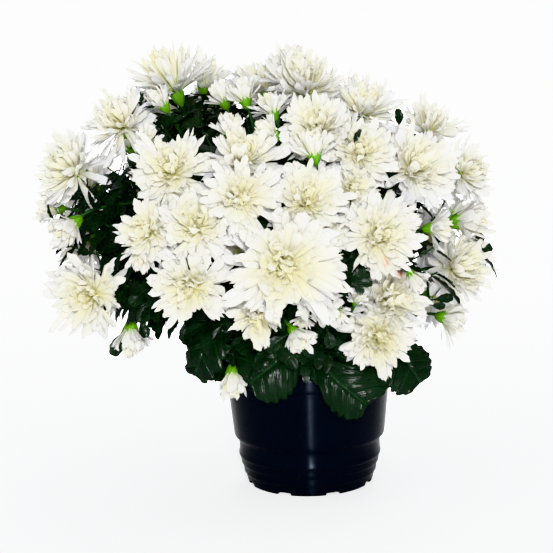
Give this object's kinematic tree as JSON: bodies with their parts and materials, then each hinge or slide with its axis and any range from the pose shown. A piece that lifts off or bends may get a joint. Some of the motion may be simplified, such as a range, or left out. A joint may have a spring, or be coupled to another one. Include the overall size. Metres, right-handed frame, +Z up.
{
  "type": "pot chrysanthemum",
  "caption": "Bushy white double-flowered chrysanthemum in a round dark plastic nursery pot, standing free on the pot's flat base.",
  "frame": {"origin": "centre of the pot's flat underside", "axes": "+Z up; the plant is seen in the picture from the -Y side with +X to the right, and the crown leans towards -X"},
  "size_m": [0.3361, 0.3021, 0.3347],
  "materials": {
    "pot_plastic": "satin",
    "potting_mix": "matte",
    "stem": "matte",
    "leaf": "satin",
    "petal": "matte"
  },
  "bodies": {
    "root": {"pot": "pot_plastic", "soil": "potting_mix", "leafy_stem_1": "stem", "leafy_stem_2": "stem", "leafy_stem_3": "stem", "leafy_stem_4": "stem", "leafy_stem_5": "stem", "leaf_1": "leaf", "leaf_2": "leaf", "leaf_3": "leaf", "leaf_4": "leaf", "leaf_5": "leaf", "leaf_6": "leaf", "flower_01": "petal", "flower_03": "petal", "flower_04": "petal", "flower_05": "petal", "flower_06": "petal", "flower_07": "petal", "flower_08": "petal", "flower_09": "petal", "flower_10": "petal", "flower_11": "petal", "flower_12": "petal", "flower_13": "petal", "flower_14": "petal", "flower_15": "petal", "flower_16": "petal", "flower_17": "petal", "flower_18": "petal", "flower_19": "petal", "flower_20": "petal", "flower_21": "petal", "flower_23": "petal", "flower_24": "petal", "flower_25": "petal", "flower_26": "petal", "flower_27": "petal", "flower_28": "petal", "flower_29": "petal", "flower_30": "petal", "flower_31": "petal", "flower_32": "petal", "flower_33": "petal", "flower_34": "petal", "flower_35": "petal", "flower_36": "petal", "flower_37": "petal", "flower_38": "petal", "flower_39": "petal", "flower_40": "petal", "flower_41": "petal", "flower_42": "petal", "bud_04": "petal", "bud_10": "petal", "bud_11": "petal", "bud_12": "petal", "bud_14": "petal", "bud_18": "petal"}
  },
  "joints": []
}
